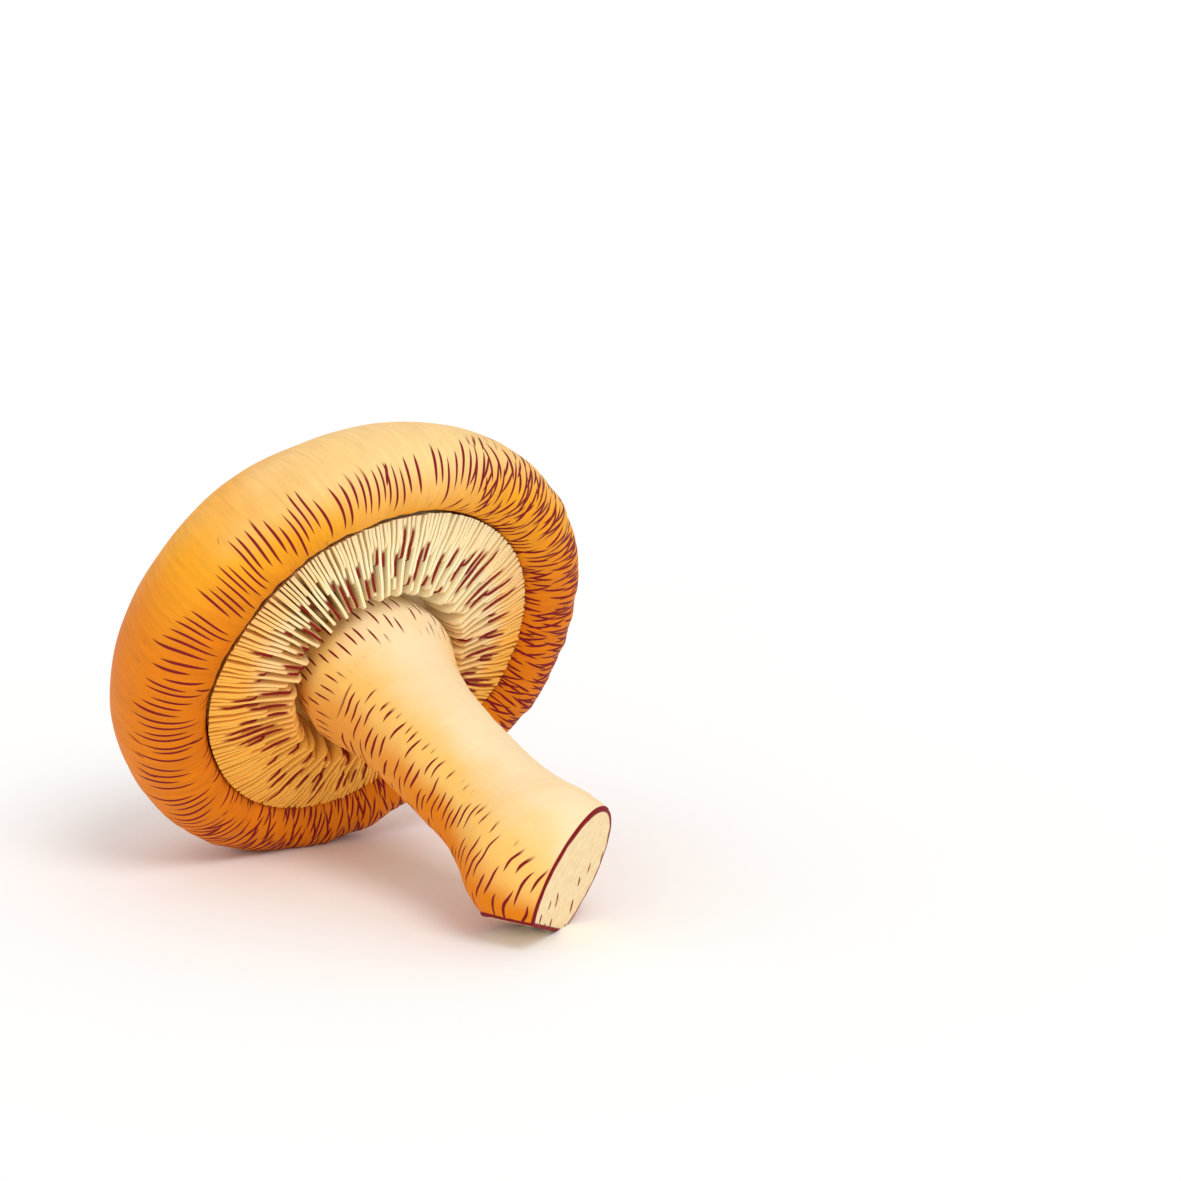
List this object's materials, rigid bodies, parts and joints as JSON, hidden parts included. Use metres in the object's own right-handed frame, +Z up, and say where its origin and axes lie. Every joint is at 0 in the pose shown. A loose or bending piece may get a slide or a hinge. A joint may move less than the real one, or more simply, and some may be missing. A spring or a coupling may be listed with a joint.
{
  "type": "shiitake mushroom",
  "caption": "Cut shiitake mushroom lying on its side, with a domed cap, a rolled-in margin, crowded radial gills and a stout stem with a swollen, slanted foot",
  "frame": {"origin": "on the surface that the mushroom lies on, below the centre of its bounding box", "axes": "+Z up, +X from the cap towards the foot of the stem, seen from above"},
  "size_m": [0.0816, 0.069, 0.0625],
  "materials": {
    "cap_skin": "satin",
    "gill_flesh": "matte",
    "stem_flesh": "matte"
  },
  "bodies": {
    "root": {"cap": "cap_skin", "gills": "gill_flesh", "stem": "stem_flesh"}
  },
  "joints": []
}
